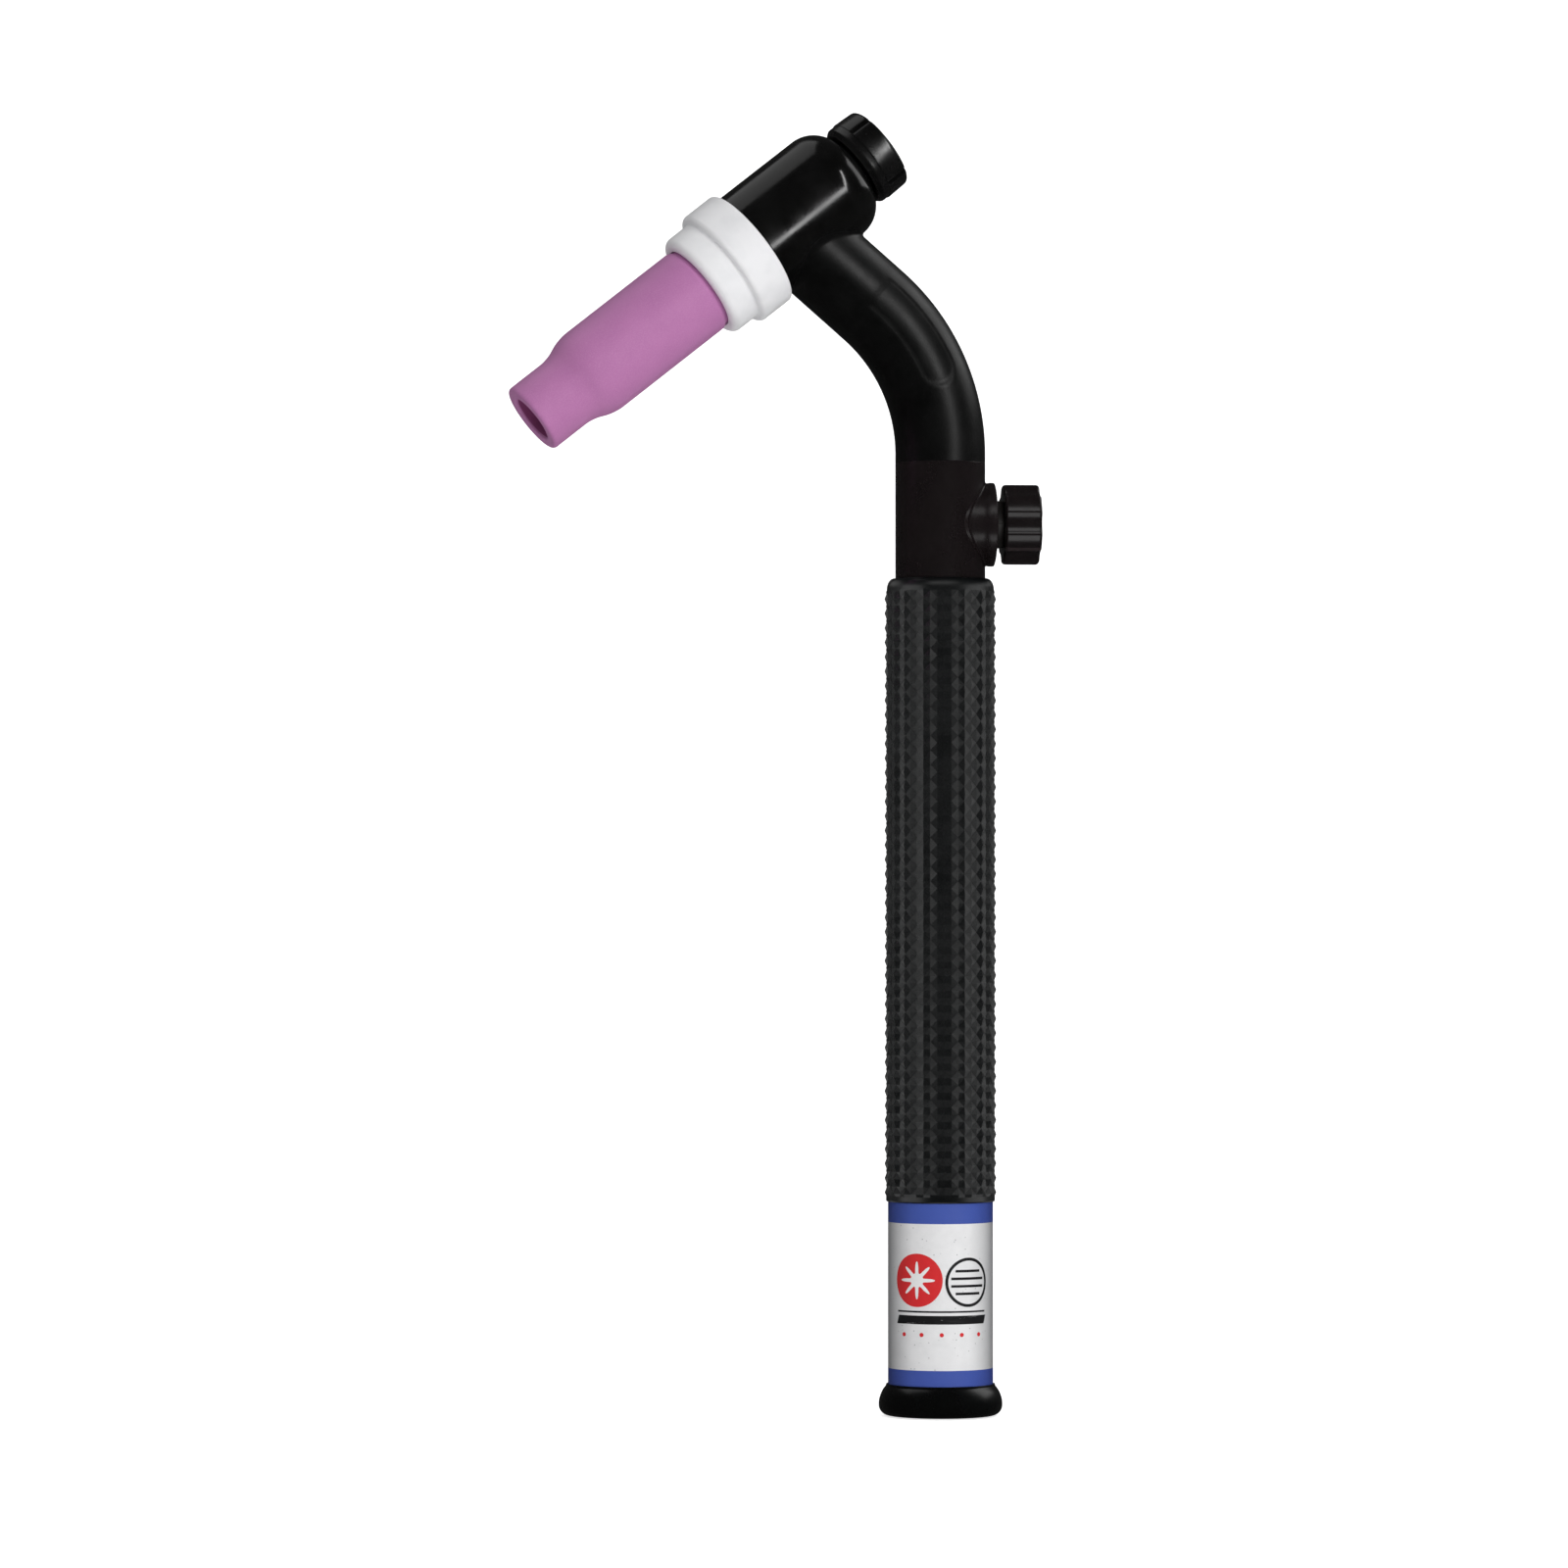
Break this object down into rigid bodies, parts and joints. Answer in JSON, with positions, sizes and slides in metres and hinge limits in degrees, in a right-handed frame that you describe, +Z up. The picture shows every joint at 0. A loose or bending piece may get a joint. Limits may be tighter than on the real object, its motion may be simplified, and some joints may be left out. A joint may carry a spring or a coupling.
{
  "type": "tig welding torch",
  "caption": "Gas-cooled TIG welding torch: ceramic cup on a tilted head, bent neck, side gas valve with fluted knob, long ribbed rubber grip and flanged handle end.",
  "frame": {"origin": "centre of the handle's rear end face, on the cable entry's axis", "axes": "+Z up the handle towards the neck, -X towards the cup, +X side holds the gas valve"},
  "size_m": [0.1091, 0.0256, 0.26],
  "materials": {
    "alumina_pink": "matte fired alumina",
    "ptfe_white": "smooth white PTFE",
    "copper": "turned copper",
    "tungsten": "ground tungsten",
    "brass": "turned brass",
    "black_gloss_moulding": "glossy moulded phenolic",
    "black_cap_moulding": "glossy moulded phenolic",
    "black_neck_rubber": "satin moulded silicone rubber",
    "brown_black_moulding": "satin moulded plastic",
    "blackened_brass": "blackened brass",
    "black_knob_moulding": "glossy moulded plastic",
    "oring_rubber": "nitrile rubber",
    "steel": "turned stainless steel",
    "handle_plastic": "moulded glass-filled nylon",
    "grip_rubber": "matte moulded rubber",
    "label_film": "printed film, silver field and blue bands",
    "end_ring_rubber": "glossy moulded rubber"
  },
  "bodies": {
    "torch_body": {"handle_tube": "handle_plastic", "grip_sleeve": "grip_rubber", "label_wrap": "label_film", "end_ring": "end_ring_rubber", "tail_fitting": "brass", "valve_core": "brass", "valve_housing": "brown_black_moulding", "valve_gland_nut": "blackened_brass", "neck_tube": "copper", "neck_jacket": "black_neck_rubber", "head_core": "brass", "head_jacket": "black_gloss_moulding", "collet_body": "copper"},
    "gasket": {"cup_gasket": "ptfe_white"},
    "cup": {"nozzle_cup": "alumina_pink"},
    "cap_carrier": {"back_cap_oring": "oring_rubber", "collet": "copper"},
    "back_cap": {"back_cap": "black_cap_moulding", "back_cap_insert": "brass"},
    "electrode": {"tungsten_electrode": "tungsten"},
    "stem_seal": {"valve_stem_oring": "oring_rubber"},
    "valve_stem": {"valve_spindle": "steel", "valve_knob": "black_knob_moulding", "knob_screw": "steel"}
  },
  "joints": [
    {"name": "cup_turn", "type": "hinge", "parent": "torch_body", "child": "gasket", "pos_m": [-0.08384, 0, 0.19759], "axis": [-0.788, 0, -0.6157], "range_deg": [0, 1440]},
    {"name": "cup_advance", "type": "slide", "parent": "gasket", "child": "cup", "axis": [-0.788, 0, -0.6157], "range_m": [0, 0.0064]},
    {"name": "cap_advance", "type": "slide", "parent": "torch_body", "child": "cap_carrier", "axis": [0.788, 0, 0.6157], "range_m": [0, 0.00636]},
    {"name": "cap_turn", "type": "hinge", "parent": "cap_carrier", "child": "back_cap", "pos_m": [-0.01292, 0, 0.253], "axis": [0.788, 0, 0.6157], "range_deg": [0, 2160]},
    {"name": "electrode_slide", "type": "slide", "parent": "cap_carrier", "child": "electrode", "axis": [-0.788, 0, -0.6157], "range_m": [-0.002, 0.0115]},
    {"name": "valve_advance", "type": "slide", "parent": "torch_body", "child": "stem_seal", "axis": [0.9848, -0.1736, 0], "range_m": [0, 0.0012]},
    {"name": "valve_turn", "type": "hinge", "parent": "stem_seal", "child": "valve_stem", "pos_m": [0.01477, -0.00261, 0.178], "axis": [0.9848, -0.1736, 0], "range_deg": [0, 540]}
  ],
  "couplings": [
    {"joint": "cup_turn", "follows": "cup_advance", "rad_per_m": 3927},
    {"joint": "cap_turn", "follows": "cap_advance", "rad_per_m": 5927.5},
    {"joint": "valve_turn", "follows": "valve_advance", "rad_per_m": 7854}
  ]
}
